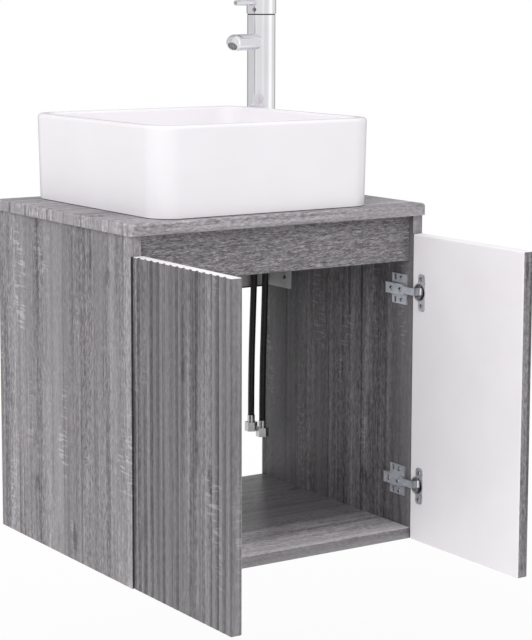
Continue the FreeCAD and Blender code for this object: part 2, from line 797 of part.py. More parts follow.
def tap_rod(axis, diameter, low, high, x, y, z):
    """A bar or hole in the tap's frame, between two places along its axis."""
    middle = f"(({low}) + ({high}))/2"
    centre = along(axis, ("0", "0", "0"), middle)
    offset = {"X": (None, y, z), "Y": (x, None, z), "Z": (x, y, None)}[axis]
    centre = [text if text is not None else c for text, c in zip(offset, centre)]
    return rod(axis, diameter, f"({high}) - ({low})", centre, TAP)


def tap_upright(diameter, low, high, x="0", y="0"):
    return tap_rod("Z", diameter, low, high, x, y, None)


def outlet_turn():
    return FreeCAD.Rotation(FreeCAD.Vector(0, 1, 0), value("outlet_tilt"))


def outlet_rod(diameter, start, length):
    """A bar along the tilted outlet, from a distance off the centre of the spout's round end."""
    item = doc.addObject("Part::Cylinder", "outlet")
    bind(item, Radius=f"({diameter})/2", Height=length)
    x = f"spout_end + ({start})*sin(outlet_tilt*1 deg)"
    z = f"spout_z + ({start})*cos(outlet_tilt*1 deg)"
    return place(item, x, "0", z, turn=outlet_turn(), lift=TAP)


def make_tap_column():
    lower = tap_upright("tap_diameter", "gasket_sheet", "centre_z")
    upper = tap_upright("tap_diameter", "centre_z", "dome_top")
    dome = common(upper, ball("2*dome_radius", ("0", "0", "centre_z"), TAP))
    bore = tap_upright("tap_bore", f"-{PAST}", "tap_bore_height")
    chamber = tap_upright("chamber_diameter", "chamber_low", f"dome_top + {PAST}")
    socket = tap_rod("X", "spout_diameter", "spout_root", "tap_diameter", None, "0", "spout_z")
    tap_node(cut(fuse(lower, dome), bore, chamber, socket), "tap_column")

    gasket = cut(tap_upright("gasket_diameter", "0", "gasket_sheet"),
                 tap_upright("tap_hole_diameter", "0", "gasket_sheet"))
    tap_node(gasket, "tap_gasket")


def make_spout():
    tube = tap_rod("X", "spout_diameter", "spout_root", "spout_end", None, "0", "spout_z")
    # The ball's poles lie on the outlet's axis, so that the outlet takes one away and the tube the other.
    tip = ball("spout_diameter", ("spout_end", "0", "spout_z"), TAP, outlet_turn())
    bore = tap_rod("X", "spout_bore", f"spout_root - {PAST}", "spout_end", None, "0", "spout_z")
    face = outlet_rod("2*spout_diameter", "outlet_offset", "spout_diameter")
    seat = "outlet_offset - aerator_depth"
    pocket = outlet_rod("aerator_diameter + 2*aerator_clearance", seat, "spout_diameter")
    tap_node(cut(fuse(tube, tip), bore, face, pocket), "tap_spout")

    insert = outlet_rod("aerator_diameter", seat, "aerator_depth")
    mouth = outlet_rod("aerator_diameter - 2*aerator_rim", "outlet_offset - aerator_recess", "spout_diameter")
    tap_node(cut(insert, mouth), "tap_aerator")


def make_cartridge():
    housing = tap_upright("chamber_diameter - 2*chamber_play", "chamber_low", "cartridge_top")
    pit = tap_upright("rotor_diameter + 2*rotor_clearance", "chamber_low + cartridge_floor",
                      f"cartridge_top + {PAST}")
    tap_node(cut(housing, pit), "tap_cartridge")

    ring = cut(tap_upright("chamber_diameter", "cartridge_top", "cartridge_top + ring_height"),
               tap_upright("ring_bore", "cartridge_top", "cartridge_top + ring_height"))
    tap_node(ring, "tap_cartridge_ring")

    half = "tilt_pin_length/2"
    pin = tap_rod("Y", "tilt_pin_diameter", f"-{half}", half, "0", None, "centre_z")
    rotor = tap_upright("rotor_diameter", "rotor_low", "rotor_low + rotor_height")
    slot_low = "rotor_low + rotor_floor"
    slot = box(("stem_slot_length", "stem_diameter + 2*stem_play", "rotor_height"),
               ("0", "0", f"{slot_low} + rotor_height/2"), TAP)
    tap_node(cut(rotor, slot, pin), "tap_rotor")
    tap_node(group([pin]), "tap_tilt_pin")


def make_handle():
    cavity = ball("2*dome_radius + 2*dome_gap", ("0", "0", "centre_z"), TAP)
    head_top = "tap_seam + head_height"
    block = tap_upright("head_diameter", "tap_seam + seam_gap", head_top)
    block = rounded(block, "head_round", edge_at(head_top, TAP))
    stem_top = "dome_top + dome_gap + stem_grip"
    stem = tap_upright("stem_diameter", "centre_z - stem_tail", stem_top)
    eye = tap_rod("Y", "tilt_pin_diameter + 2*pin_clearance", "-stem_diameter", "stem_diameter",
                  "0", None, "centre_z")
    lever_z = "tap_seam + lever_rise"
    bar = tap_rod("X", "lever_diameter", "lever_root", "lever_reach", None, "0", lever_z)
    tip = value("lever_reach")
    lever = rounded(bar, "lever_round", lambda e: abs(e.BoundBox.XMin - tip) < SAME_PLACE)
    dot_front = "head_diameter/2 + dot_proud"
    dot_z = "tap_seam + dot_rise"
    dot = tap_rod("X", "dot_diameter", f"{dot_front} - dot_sheet", dot_front, None, "0", dot_z)
    tap_node(cut(block, cavity, stem, bar, dot), "tap_handle")
    tap_node(cut(stem, eye), "tap_stem")
    tap_node(group([lever]), "tap_lever")
    tap_node(group([dot]), "tap_indicator")


def hose_tops():
    """Threaded stub and crimped ferrule at the top of each hose."""
    tops = []
    for way in SIDES.values():
        y = f"{way}*hose_offset"
        stub = tap_upright("hose_stub_diameter", "gasket_sheet", "gasket_sheet + hose_stub_length", "0", y)
        sleeve = tap_upright("ferrule_diameter", "ferrule_low", "gasket_sheet", "0", y)
        tops.append(fuse(stub, sleeve))
    return tops


def make_tap_fixing():
    tops = hose_tops()
    stud_top = "gasket_sheet + stud_grip"
    stud = tap_upright("stud_diameter", f"{stud_top} - stud_length", stud_top, "-stud_offset")
    insert = tap_upright("tap_bore", "gasket_sheet", "gasket_sheet + insert_height")
    tap_node(cut(insert, group(tops), stud), "tap_base_insert")
    tap_node(group([stud]), "tap_stud")
    tap_node(group(tops), "hose_ferrules")
    plate = tap_upright("clamp_diameter", "-board - clamp_sheet", "-board")
    mouth_x = "(clamp_diameter - clamp_mouth_depth)/2"
    mouth = box(("clamp_diameter + clamp_mouth_depth", "clamp_mouth", "2*board"),
                (mouth_x, "0", "-board - clamp_sheet/2"), TAP)
    tap_node(cut(plate, mouth, stud), "tap_clamp_washer")
    nut_top = "-board - clamp_sheet"
    nut_low = f"{nut_top} - stud_nut_height"
    nut = hexagon("stud_nut_corner_diameter", nut_low, nut_top, "-stud_offset", "0", TAP)
    tap_node(cut(nut, stud), "tap_stud_nut")


# Hoses: each hangs from its ferrule and ends in a union nut.
# Route points are offsets from the foot of the ferrule, chosen by hand.

HOSE_ROUTES = {
    "hot": (1, [(0, 0, 0), (0, 0, -65), (-3.5, -1, -170), (-6, 0.5, -275), (-6, 0.5, -345)]),
    "cold": (-1, [(0, 0, 0), (0, 0, -70), (-3, 1, -165), (-7, 0, -268), (-7, 0, -338)]),
}
BEND_SHARE = 0.45


def hose_start(way):
    """The foot of a ferrule, which lies across the spout from the tap's axis."""
    turn = math.radians(value("tap_turn"))
    reach = way * value("hose_offset")
    x = value("tap_x") - reach * math.sin(turn)
    y = value("-tap_y") + reach * math.cos(turn)
    return FreeCAD.Vector(x, y, value("top_z + ferrule_low - wall_hole_height"))


def smooth_wire(points):
    """Straight runs joined by tangent arcs, each as wide as its shorter run allows."""
    edges = []
    radii = []
    last = points[0]
    for before, corner, after in zip(points, points[1:], points[2:]):
        into = (before - corner).normalize()
        out = (after - corner).normalize()
        turn = math.pi - into.getAngle(out)
        back = BEND_SHARE * min((before - corner).Length, (after - corner).Length)
        radius = back / math.tan(turn / 2)
        start = corner + into * back
        end = corner + out * back
        inward = (into + out).normalize()
        middle = corner + inward * (radius / math.cos(turn / 2) - radius)
        edges.append(Part.LineSegment(last, start).toShape())
        edges.append(Part.Arc(start, middle, end).toShape())
        radii.append(round(radius))
        last = end
    edges.append(Part.LineSegment(last, points[-1]).toShape())
    return Part.Wire(edges), radii


def make_hoses():
    nuts = []
    for name, (way, offsets) in HOSE_ROUTES.items():
        start = hose_start(way)
        points = [start + FreeCAD.Vector(*offset) for offset in offsets]
        path, radii = smooth_wire(points)
        radius = value("hose_diameter/2")
        section = Part.Wire([Part.makeCircle(radius, points[0], FreeCAD.Vector(0, 0, -1))])
        hose = doc.addObject("Part::Feature", "hose")
        hose.Shape = path.makePipeShell([section], True, False)
        node(hose, f"hose_{name}")
        share = hose.Shape.Volume / (math.pi * radius ** 2 * path.Length)
        print(f"hose_{name}: length {path.Length:.1f} mm, bend radii {radii} mm, volume share {share:.4f}")
        nuts.append(hose_nut(points[-1]))
    node(group(nuts), "hose_end_nuts")


def hose_nut(top):
    """A crimped sleeve and a union nut, open below, at the lower end of a hose.

    The nut is turned with the tap, so that the two nuts have their flats side by side.
    """
    here = (f"{top.x}", f"{top.y}")
    low = f"{top.z} - ferrule_length/2"
    sleeve = upright("ferrule_diameter", low, f"{top.z}", *here, lift=TAP)
    turn = FreeCAD.Rotation(FreeCAD.Vector(0, 0, 1), value("tap_turn"))
    nut = hexagon("hose_nut_corner_diameter", f"{low} - hose_nut_height", low, *here, TAP, turn)
    bore = upright("hose_nut_bore", f"{low} - hose_nut_height - {PAST}",
                   f"{low} - hose_nut_height + hose_nut_bore_depth", *here, lift=TAP)
    return cut(fuse(sleeve, nut), bore)


def check_and_export():
    doc.recompute()
    for item in doc.Objects:
        if "Invalid" in item.State or "Error" in item.State:
            raise RuntimeError(f"{item.Name} ({item.Label}) did not build: {item.State}")
    for item in nodes:
        if item.Shape.isNull() or not item.Shape.isValid() or not item.Shape.Solids:
            raise RuntimeError(f"{item.Label} has no valid solid")
    os.makedirs("parts", exist_ok=True)
    for item in nodes:
        item.Shape.exportStep(f"parts/{item.Label}.step")
    print(f"{len(nodes)} nodes written")


make_carcass(make_doors())
make_basin()
make_waste()
make_tap_column()
make_spout()
make_cartridge()
make_handle()
make_tap_fixing()
make_hoses()
check_and_export()
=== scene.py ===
import json
import math
from collections import namedtuple

import bmesh
import bpy
from mathutils import Matrix, Vector


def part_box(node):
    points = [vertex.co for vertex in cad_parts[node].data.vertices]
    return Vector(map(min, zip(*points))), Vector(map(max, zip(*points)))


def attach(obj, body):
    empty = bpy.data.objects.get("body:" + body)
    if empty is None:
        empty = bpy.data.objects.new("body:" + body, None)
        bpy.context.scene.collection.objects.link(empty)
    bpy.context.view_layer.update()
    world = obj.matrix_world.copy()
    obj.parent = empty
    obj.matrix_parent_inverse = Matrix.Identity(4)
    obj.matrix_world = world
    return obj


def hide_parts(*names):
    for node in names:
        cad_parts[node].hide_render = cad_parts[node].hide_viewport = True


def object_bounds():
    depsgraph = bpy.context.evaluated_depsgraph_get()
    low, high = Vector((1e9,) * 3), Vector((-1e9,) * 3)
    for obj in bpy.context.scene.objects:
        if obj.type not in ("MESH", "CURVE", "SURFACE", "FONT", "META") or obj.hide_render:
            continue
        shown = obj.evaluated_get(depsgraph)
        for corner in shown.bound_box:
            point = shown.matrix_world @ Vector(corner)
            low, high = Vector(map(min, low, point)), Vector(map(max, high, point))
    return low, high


# Wall-hung vanity unit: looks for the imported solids, in metres.
# +Z is up, the front faces -Y and the wall plane is y = 0.

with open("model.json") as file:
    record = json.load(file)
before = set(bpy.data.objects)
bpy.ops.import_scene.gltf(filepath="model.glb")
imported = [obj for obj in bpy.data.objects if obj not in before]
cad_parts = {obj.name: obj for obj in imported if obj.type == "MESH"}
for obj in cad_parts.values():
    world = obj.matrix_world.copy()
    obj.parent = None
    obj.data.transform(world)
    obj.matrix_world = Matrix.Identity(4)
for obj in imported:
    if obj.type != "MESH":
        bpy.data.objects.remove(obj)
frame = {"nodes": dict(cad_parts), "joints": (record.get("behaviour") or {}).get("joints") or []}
cad_box = [list(corner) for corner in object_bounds()]
nodes = frame["nodes"]
joints = {joint["name"]: joint for joint in frame["joints"]}
SIDES = ("left", "right")
HINGES = [f"{side}_{level}" for side in SIDES for level in ("lower", "upper")]

# Carcass: a face that looks towards its middle is an inside face.
carcass_low, carcass_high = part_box("side_panel_left")
CARCASS_MIDDLE = Vector((0, (carcass_low.y + carcass_high.y) / 2, (carcass_low.z + carcass_high.z) / 2))
MASK_BLUR = 0.02

# Doors: fifteen ribs across the width, as in the solids, and the inner face that carries the hinge cups.
RIB_COUNT = 15
door_low, door_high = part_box("door_left")
RIB_PITCH = (door_high.y - door_low.y) / RIB_COUNT
DOOR_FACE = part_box("door_right")[0].x
DOOR_SEEDS = (3.7, 9.1)

# Shade in the grooves between the ribs and light on their lips: where each starts and is full, in pitches
# from the groove, and its depth.
GROOVE_REACH = (0.3, 0.08)
GROOVE_DEPTH = (0.03, 0.2)
LIP_RISE = (0.26, 0.36)
LIP_FALL = (0.36, 0.46)
LIP_LIGHT = 0.04

# Hinges: depths in the door between which the cup turns dark with grease and painted shade, and the distance
# before the door's face from which the arm is painted with light towards its toe.
CUP_INSIDE = (0.004, 0.0108)
TOE_START = 0.003

# Tap: turned so that the spout points to the basin, with an outlet tilted from upright.
TAP_TURN = math.radians(208.5)
OUTLET_TILT = math.radians(130)
SPOUT_WAY = Vector((math.cos(TAP_TURN), math.sin(TAP_TURN), 0))
SPOUT_SIDE = Vector((-math.sin(TAP_TURN), math.cos(TAP_TURN), 0))
OUTLET_WAY = SPOUT_WAY * math.sin(OUTLET_TILT) + Vector((0, 0, math.cos(OUTLET_TILT)))
# The seam under the head: its gap, and the height above which the column is painted with the seam's shadow.
SEAM_GAP = 0.0018
SEAM_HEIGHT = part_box("tap_handle")[0].z - SEAM_GAP
SEAM_EDGE = (SEAM_HEIGHT - 0.0001, SEAM_HEIGHT + 0.0002)
DOT_BLUR = 0.0002

# Grille across the outlet: a square net of wires, cut to a round one.
AERATOR_DEPTH = 0.007
AERATOR_MOUTH = 0.013
AERATOR_SINK = 0.0007
GRILLE_CELLS = 9
GRILLE_REACH = 0.98
GRILLE_WIRE = 0.00042

# Hoses: each starts at the foot of its ferrule, beside the tap's axis. By name: side, length and route.
HOSE_DIAMETER = 0.010
HOSE_OFFSET = 0.0095
HOSE_TOP = 0.0975
HOSE_ROUTES = {
    "hot": (1, 0.3451, [(0, 0, 0), (0, 0, -0.065), (-0.0035, -0.001, -0.170),
                        (-0.006, 0.0005, -0.275), (-0.006, 0.0005, -0.345)]),
    "cold": (-1, 0.3381, [(0, 0, 0), (0, 0, -0.070), (-0.003, 0.001, -0.165),
                          (-0.007, 0, -0.268), (-0.007, 0, -0.338)]),
}

# Screws: shank diameter and the body that carries them, by node.
SCREWS = {
    "hinge_cup_screws_left": (0.003, "door_left"),
    "hinge_cup_screws_right": (0.003, "door_right"),
    "hinge_plate_screws": (0.004, "cabinet"),
    "hinge_adjusting_screws": (0.004, "cabinet"),
    "bracket_screws": (0.004, "cabinet"),
}

# Screw heads: outline and crossed recess as shares of the head's radius and height.
SCREW_HEAD_HEIGHT = 0.0016
HEAD_OUTLINE = ((0, 1), (0.45, 0.97), (0.72, 0.86), (0.9, 0.62), (1, 0.3), (1, 0))
HEAD_SEGMENTS = 28
RECESS_LENGTH = 1.24
RECESS_WIDTH = 0.26
RECESS_LEVEL = 0.8
SHANK_STRAIGHT = 0.9
SCREW_TURN = math.radians(37)

# Wood films: layers with their cycles per metre across and along the grain, detail, distortion and weight,
# and whether the film also has bands, saw marks and knots.
Film = namedtuple("Film", "layers figured")
PLAIN_FILM = Film(((14, 0.6, 1.0, 0.0, 0.45), (90, 1.1, 2.0, 0.0, 0.60), (160, 6, 2.0, 0.3, 0.44),
                   (400, 125, 2.0, 0.4, 0.85)), True)
DOOR_FILM = Film(((14, 0.6, 1.0, 0.0, 0.50), (95, 0.9, 2.0, 0.0, 1.05), (170, 5, 2.0, 0.3, 0.62),
                  (400, 120, 2.0, 0.4, 0.90)), True)
WAVY_FILM = Film(((16, 1.0, 1.0, 0.0, 0.20), (170, 6, 2.0, 0.4, 0.35), (430, 75, 2.0, 1.2, 1.5),
                  (900, 210, 2.0, 0.9, 1.2)), False)
LAYER_SHIFT = 3.7
END_GRAIN_SHIFT = 31

# Figures of a film: cycles per metre across and along the grain, a shift that sets it apart from the others,
# distortion, and the noise levels at which it starts and is full.
BANDS = (13, 0.7, 47, 0.0, 0.42, 0.58)
LINES = (105, 0.8, 19, 0.0, 0.37, 0.31)
SAW_MARKS = (40, 290, 23, 0.0, 0.52, 0.62)
SAW_PATCHES = (24, 6, 29, 0.0, 0.60, 0.70)
KNOTS = (42, 12, 53, 0.4, 0.69, 0.80)
UNEVEN_GROOVES = (50, 1.0, 41, 0.0, 0.35, 0.65)
BAND_STRENGTH = (0.5, 1.35)
LINE_DEPTH = 0.2
SAW_LIGHT = 0.24
KNOT_DEPTH = 0.24

# Colour of the film: darkest and lightest display value, how much less green it has, and the colour stops.
FILM_RANGE = (70, 200)
FILM_TINT = 3
FILM_STOPS = 6

# Painted shade as levels of the film's light, and depths from the open front at which the painted light on a
# board starts and is full.
INNER_SHADE = 0.56
EDGE_SHADE = 0.2
DOOR_SHADE = 0.78
LIT_DEPTH = 0.115
LIT_FULL = 0.3 * LIT_DEPTH
EDGE_BLUR = 0.001

# Masks by the way that a face looks: parts of its normal at which a mask starts and is full.
END_FACING = (0.6, 0.75)
WHITE_FACING = (0.6, 0.72)
FRONT_FACING = (-0.8, -0.9)
FLUTED_FACING = (-0.2, -0.3)

# Surface of the film: its roughness falls from dark to light tones.
FILM_SPECULAR = 0.3
TONE_RANGE = (0.2, 0.8)
FILM_ROUGHNESS = (0.64, 0.5)
COATING_ROUGHNESS = (0.58, 0.44)
FIBRE_HEIGHT = 0.0004

# Boards: material, axis of the grain, seed of the film and further options of board_material, by node.
BOARDS = {
    # Side panels: painted shadow on the front edge below the top of the doors, where a door closes on it.
    "side_panel_left": ("panel_film_left", "Z", 0.0, {"edge": True}),
    "side_panel_right": ("panel_film_right", "Z", 5.3, {"edge": True}),
    # Countertop: painted light on its outer faces.
    "countertop": ("top_film", "X", 2.1, {"outside": 1.3, "end_grain": "Z"}),
    # Fascia: painted shade on its outer faces, under the countertop.
    "front_fascia": ("fascia_film", "X", 8.7, {"film": WAVY_FILM, "outside": 0.78}),
    # Bottom board: painted shade inside and outside, and painted light on its inside towards the open front.
    "bottom_panel": ("bottom_film", "X", 13.9,
                     {"inside": 0.75, "outside": 0.72, "painted_front_light": 2.4, "gloss": 0.25}),
    "rear_rail": ("rail_film", "X", 17.3, {}),
}

# Colours here and below are display values of 0 to 255. A cloud runs from dark to light between two noise
# levels.
CLOUD_RANGE = (0.3, 0.7)
CHROME = ((230, 230, 233), (236, 236, 239))
CHROME_POLISH = (0.05, 0.1)
CHROME_CLOUD = 20
NICKEL = ((176, 180, 188), (206, 209, 216))
# Painted shadow in the seam under the tap's head.
SEAM_SHADOW_COLOUR = (24, 22, 26)
CRIMP_PITCH = 0.003

# Metals: dark and light colour, smooth and dull roughness, clouds per metre, how metallic, and the nodes,
# none where only a piece made here has it.
METALS = {
    "chrome": (*CHROME, *CHROME_POLISH, CHROME_CLOUD, 1.0, ["tap_spout", "tap_handle", "tap_lever"]),
    "waste_chrome": (*CHROME, 0.06, 0.14, 60, 1.0,
                     ["waste_body", "waste_plug", "waste_backnut", "waste_tailpiece"]),
    "hinge_nickel": (*NICKEL, 0.26, 0.38, 90, 0.6,
                     [f"hinge_plate_{hinge}" for hinge in HINGES] + [f"hinge_pins_{side}" for side in SIDES]),
    "brass": ((196, 164, 98), (214, 184, 120), 0.22, 0.36, 120, 1.0,
              ["tap_base_insert", "tap_cartridge_ring", "tap_stud_nut"]),
    "plated_steel": (186, 208, 0.2, 0.34, 120, 1.0,
                     ["tap_stud", "tap_clamp_washer", "tap_tilt_pin", "tap_stem", "hose_end_nuts"]),
    "zinc": ((170, 172, 176), (196, 198, 202), 0.3, 0.45, 200, 1.0, ["cam_locks", "cam_bolts"]),
    "screw_steel": ((158, 160, 166), (196, 198, 204), 0.22, 0.36, 300, 1.0, []),
}

# Paint, plastic, rubber and sealant: dark and light grey, roughness, grains per metre, relief, and the nodes,
# none where only a piece made here has it.
COATINGS = {
    "bracket_paint": (196, 204, 0.5, 600, 0.05, [f"wall_bracket_{side}" for side in SIDES]),
    "sealant": (58, 72, 0.6, 800, 0.15, ["basin_sealant"]),
    "black_rubber": (26, 38, 0.6, 900, 0.15, ["waste_seals", "tap_gasket"]),
    "white_plastic": (214, 226, 0.4, 500, 0.15, ["tap_cartridge", "tap_rotor"]),
    "aerator_plastic": (126, 140, 0.6, 1200, 0.15, ["tap_aerator"]),
    "grille_steel": (168, 184, 0.6, 400, 0.15, []),
}

# Camera fitted to the photograph, with its frame of 532 by 640.
CAMERA_PLACE = (-1.48475, -2.55617, 0.40827)
CAMERA_TURN = math.radians(-32.54)
CAMERA_PITCH = math.radians(7.534)
CAMERA_SENSOR = 36
CAMERA_LENS = 111.41
CAMERA_SHIFT = (0.0676, -0.1)

# Floor: a disc below the hanging unit. Its glow grows outwards, so that its rim fades into the background.
FLOOR_DROP = 0.42
FLOOR_RADIUS = 3.0
FLOOR_GLOW = (0.8, 1.0)
GLOW_REACH = (0.5, 0.8 * FLOOR_RADIUS)

# Light of the studio, and lamps by name: place, width and power in watts.
WORLD_LEVEL = 0.80
LAMPS = {
    "key": ((-3.0, -2.2, 2.3), 3.0, 64),
    "top": ((0.2, -0.8, 3.0), 2.4, 20),
}

# Flags in the studio that polished metal reflects: middle and half width in degrees from -Y towards +X, and
# depth, which is below 0 for a bright strip. The blur of their edges has a limit, in degrees too.
FLAGS = ((-137, 40, 0.28), (-88.5, 6.5, 0.56), (-50, 25, 0.13), (5, 17, 0.15), (46, 12, -0.2), (84, 16, 0.16),
         (146, 44, 0.53))
FLAG_BLUR = 6


def shade(colour):
    """A linear colour from display values of 0 to 255: one grey, or red, green and blue."""
    levels = (colour,) * 3 if isinstance(colour, (int, float)) else colour
    linear = [((v / 255 + 0.055) / 1.055) ** 2.4 if v > 10 else v / 255 / 12.92 for v in levels]
    return (*linear, 1.0)


class NodeWriter:
    """A node tree being written: most calls add a node and return its output."""

    def __init__(self, tree):
        self.tree = tree

    def add(self, kind, inputs=None, **settings):
        node = self.tree.nodes.new(kind)
        for name, setting in settings.items():
            setattr(node, name, setting)
        for socket, value in (inputs or {}).items():
            self.feed(node.inputs[socket], value)
        return node

    def feed(self, socket, value):
        if isinstance(value, bpy.types.NodeSocket):
            self.tree.links.new(value, socket)
        else:
            socket.default_value = value

    def calc(self, operation, *values):
        return self.add("ShaderNodeMath", dict(enumerate(values)), operation=operation).outputs[0]

    def spread(self, value, low, high, to_low=0.0, to_high=1.0, **settings):
        """A value carried from one range to another, and held at the ends of that."""
        limits = {"Value": value, "From Min": low, "From Max": high, "To Min": to_low, "To Max": to_high}
        return self.add("ShaderNodeMapRange", limits, clamp=True, **settings).outputs["Result"]

    def between(self, factor, first, second):
        """A number between two others."""
        return self.add("ShaderNodeMix", {0: factor, 2: first, 3: second}, data_type="FLOAT").outputs[0]


class Recipe(NodeWriter):
    """A material being written."""

    def __init__(self, name, values=None):
        self.material = bpy.data.materials.new(name)
        self.material.use_nodes = True
        super().__init__(self.material.node_tree)
        self.shader = self.tree.nodes["Principled BSDF"]
        for socket, value in (values or {}).items():
            self.set(socket, value)
        coordinates = self.add("ShaderNodeTexCoord").outputs
        self.place = coordinates["Object"]
        self.normal = coordinates["Normal"]

    def set(self, socket, value):
        self.feed(self.shader.inputs[socket], value)

    def stretched(self, across, along, axis="Z", shift=0.0):
        """Coordinates in cycles per metre, drawn out along one axis."""
        scale = [across] * 3
        scale["XYZ".index(axis)] = along
        mapping = {"Vector": self.place, "Location": (shift, shift, shift), "Scale": scale}
        return self.add("ShaderNodeMapping", mapping).outputs[0]

    def noise(self, vector, detail, roughness, distortion=0.0, scale=1.0):
        values = {"Vector": vector, "Scale": scale, "Detail": detail, "Roughness": roughness,
                  "Distortion": distortion}
        return self.add("ShaderNodeTexNoise", values).outputs["Fac"]

    def cloud(self, scale, detail=2.0, roughness=0.5):
        """Even noise, in clouds per metre."""
        return self.noise(self.place, detail, roughness, 0.0, scale)

    def vector_math(self, operation, *vectors):
        return self.add("ShaderNodeVectorMath", dict(enumerate(vectors)), operation=operation).outputs

    def part(self, vector, axis):
        return self.add("ShaderNodeSeparateXYZ", {0: vector}).outputs["XYZ".index(axis)]

    def mix(self, factor, first, second):
        node = self.add("ShaderNodeMix", data_type="RGBA")
        for socket, value in zip((0, 6, 7), (factor, first, second)):
            self.feed(node.inputs[socket], value)
        return node.outputs[2]

    def ramp(self, factor, stops):
        node = self.add("ShaderNodeValToRGB", {"Fac": factor})
        elements = node.color_ramp.elements
        while len(elements) < len(stops):
            elements.new(0.5)
        for element, (place, colour) in zip(elements, stops):
            element.position = place
            element.color = colour
        return node.outputs["Color"]

    def two_tone(self, cloud, dark, light):
        return self.ramp(cloud, tuple(zip(CLOUD_RANGE, (shade(dark), shade(light)))))

    def polish(self, cloud, smooth, dull):
        self.set("Roughness", self.spread(cloud, *CLOUD_RANGE, smooth, dull))

    def bump(self, height, strength, distance):
        node = self.add("ShaderNodeBump", {"Height": height, "Strength": strength, "Distance": distance})
        self.set("Normal", node.outputs["Normal"])


# Wood film

def figure(recipe, kind, grain, seed, low=0.0, high=1.0):
    """One figure of a film as a mask that runs from low to high."""
    across, along, shift, distortion, start, full = kind
    noise = recipe.noise(recipe.stretched(across, along, grain, seed + shift), 1.0, 0.5, distortion)
    return recipe.spread(noise, start, full, low, high)


def wood_tone(recipe, grain, seed, film=PLAIN_FILM):
    """Lightness of a grey oak film, 0.5 in the mean, and the height of its fibres."""
    if film.figured:
        bands = figure(recipe, BANDS, grain, seed, *BAND_STRENGTH)
    tone = 0.5
    for number, (across, along, detail, distortion, weight) in enumerate(film.layers):
        place = recipe.stretched(across, along, grain, seed + LAYER_SHIFT * number)
        layer = recipe.noise(place, detail, 0.6, distortion)
        share = recipe.calc("MULTIPLY", recipe.calc("SUBTRACT", layer, 0.5), weight)
        if film.figured and number > 0:
            share = recipe.calc("MULTIPLY", share, bands)
        tone = recipe.calc("ADD", tone, share)
    lines = figure(recipe, LINES, grain, seed, high=LINE_DEPTH)
    tone = recipe.calc("SUBTRACT", tone, lines)
    if film.figured:
        marks = figure(recipe, SAW_MARKS, grain, seed)
        patches = figure(recipe, SAW_PATCHES, grain, seed)
        sawn = recipe.calc("MULTIPLY", marks, patches)
        tone = recipe.calc("ADD", tone, recipe.calc("MULTIPLY", sawn, SAW_LIGHT))
        knots = figure(recipe, KNOTS, grain, seed, high=KNOT_DEPTH)
        tone = recipe.calc("SUBTRACT", tone, knots)
    return tone, layer


def wood_colour(recipe, tone, level):
    """Colour of the film at a tone, with its light multiplied by a level."""
    low, high = FILM_RANGE
    stops = []
    for i in range(FILM_STOPS):
        place = i / (FILM_STOPS - 1)
        grey = low + (high - low) * place
        red, green, blue, _ = shade((grey, grey - FILM_TINT, grey))
        stops.append((place, (red * level, green * level, blue * level, 1.0)))
    return recipe.ramp(tone, stops)


def inside_mask(recipe):
    """1 on faces that look to the middle of the carcass."""
    outward = recipe.vector_math("SUBTRACT", recipe.place, CARCASS_MIDDLE)["Vector"]
    looking = recipe.vector_math("DOT_PRODUCT", recipe.normal, outward)["Value"]
    return recipe.spread(looking, -MASK_BLUR, MASK_BLUR, 1.0, 0.0)


def board_material(name, grain, seed, film=PLAIN_FILM, inside=INNER_SHADE, outside=1.0, painted_front_light=None,
                   end_grain=None, edge=False, gloss=0.0):
    """Grey oak film on a board, with painted shade inside the carcass, and painted light or shade on its
    outer faces where its outer level is above or below 1. If asked, painted light falls on its inside towards
    the open front, its ends have another grain, its front edge carries the painted shadow of the door's gap,
    or it is glossier."""
    recipe = Recipe(name, {"Specular IOR Level": FILM_SPECULAR + gloss})
    tone, fibres = wood_tone(recipe, grain, seed, film)
    if end_grain:
        end_tone, _ = wood_tone(recipe, end_grain, seed + END_GRAIN_SHIFT)
        sideways = recipe.calc("ABSOLUTE", recipe.part(recipe.normal, "X"))
        tone = recipe.mix(recipe.spread(sideways, *END_FACING), tone, end_tone)
    outer = wood_colour(recipe, tone, outside)
    inner = wood_colour(recipe, tone, inside)
    # Painted light on the inside, falling in through the open front.
    if painted_front_light:
        depth = recipe.part(recipe.place, "Y")
        lit = recipe.spread(depth, carcass_low.y + LIT_DEPTH, carcass_low.y + LIT_FULL)
        inner = recipe.mix(lit, inner, wood_colour(recipe, tone, painted_front_light))
    colour = recipe.mix(inside_mask(recipe), outer, inner)
    if edge:
        # Painted shadow of the gap between the door and the panel's front edge.
        front = recipe.spread(recipe.part(recipe.normal, "Y"), *FRONT_FACING)
        height = recipe.part(recipe.place, "Z")
        behind_door = recipe.spread(height, door_high.z, door_high.z - EDGE_BLUR)
        dark = wood_colour(recipe, tone, EDGE_SHADE)
        colour = recipe.mix(recipe.calc("MULTIPLY", front, behind_door), colour, dark)
    recipe.set("Base Color", colour)
    roughness = [level - gloss for level in FILM_ROUGHNESS]
    recipe.set("Roughness", recipe.spread(tone, *TONE_RANGE, *roughness))
    recipe.bump(fibres, 0.18, FIBRE_HEIGHT)
    return recipe.material


